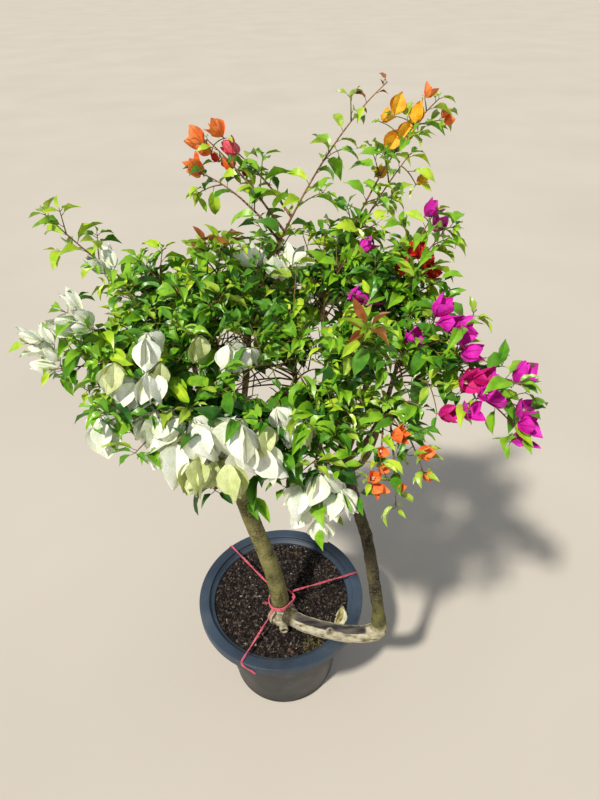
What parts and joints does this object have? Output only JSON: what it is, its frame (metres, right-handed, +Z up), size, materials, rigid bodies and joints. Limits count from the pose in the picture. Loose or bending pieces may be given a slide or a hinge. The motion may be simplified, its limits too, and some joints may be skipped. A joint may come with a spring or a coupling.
{
  "type": "bougainvillea bush in a nursery pot",
  "caption": "Young grafted bougainvillea bush with two leaning stems, loose arching shoots and mixed white, magenta, orange and yellow bracts, standing in a black plastic pot",
  "frame": {"origin": "centre of the pot's flat underside, on the ground", "axes": "+Z up, +X to the right and +Y away as seen from the front, where the picture was taken"},
  "size_m": [0.7238, 0.5811, 1.282],
  "materials": {
    "pot_plastic": "matte, slightly dusty",
    "soil": "loose and rough",
    "bark": "rough bark",
    "green_bark": "young bark",
    "foliage": "satin leaves",
    "bracts": "papery",
    "twine": "satin strand"
  },
  "bodies": {
    "root": {"pot": "pot_plastic", "soil": "soil", "trunk": "bark", "side_stem_low": "bark", "side_stem_high": "bark", "bough_left_tip": "green_bark", "bough_far_left": "green_bark", "bough_lower_left": "green_bark", "bough_front_white": "green_bark", "bough_low_front": "green_bark", "bough_upper_left": "green_bark", "bough_top_left": "green_bark", "bough_back_left": "green_bark", "bough_back": "green_bark", "bough_centre": "green_bark", "bough_front_right": "green_bark", "bough_upper_right": "green_bark", "bough_top_right": "green_bark", "bough_right": "green_bark", "bough_lower_right": "green_bark", "bough_back_right": "green_bark", "foliage_left_tip": "foliage", "foliage_far_left": "foliage", "foliage_lower_left": "foliage", "foliage_front_white": "bracts", "foliage_low_front": "foliage", "foliage_upper_left": "foliage", "foliage_top_left": "foliage", "foliage_back_left": "foliage", "foliage_back": "foliage", "foliage_centre": "foliage", "foliage_front_right": "foliage", "foliage_upper_right": "foliage", "foliage_top_right": "foliage", "foliage_right": "bracts", "foliage_lower_right": "bracts", "foliage_back_right": "foliage", "twine_loop": "twine", "twine_run_back": "twine", "twine_run_right": "twine", "twine_run_front": "twine", "fallen_bract": "bracts"}
  },
  "joints": []
}
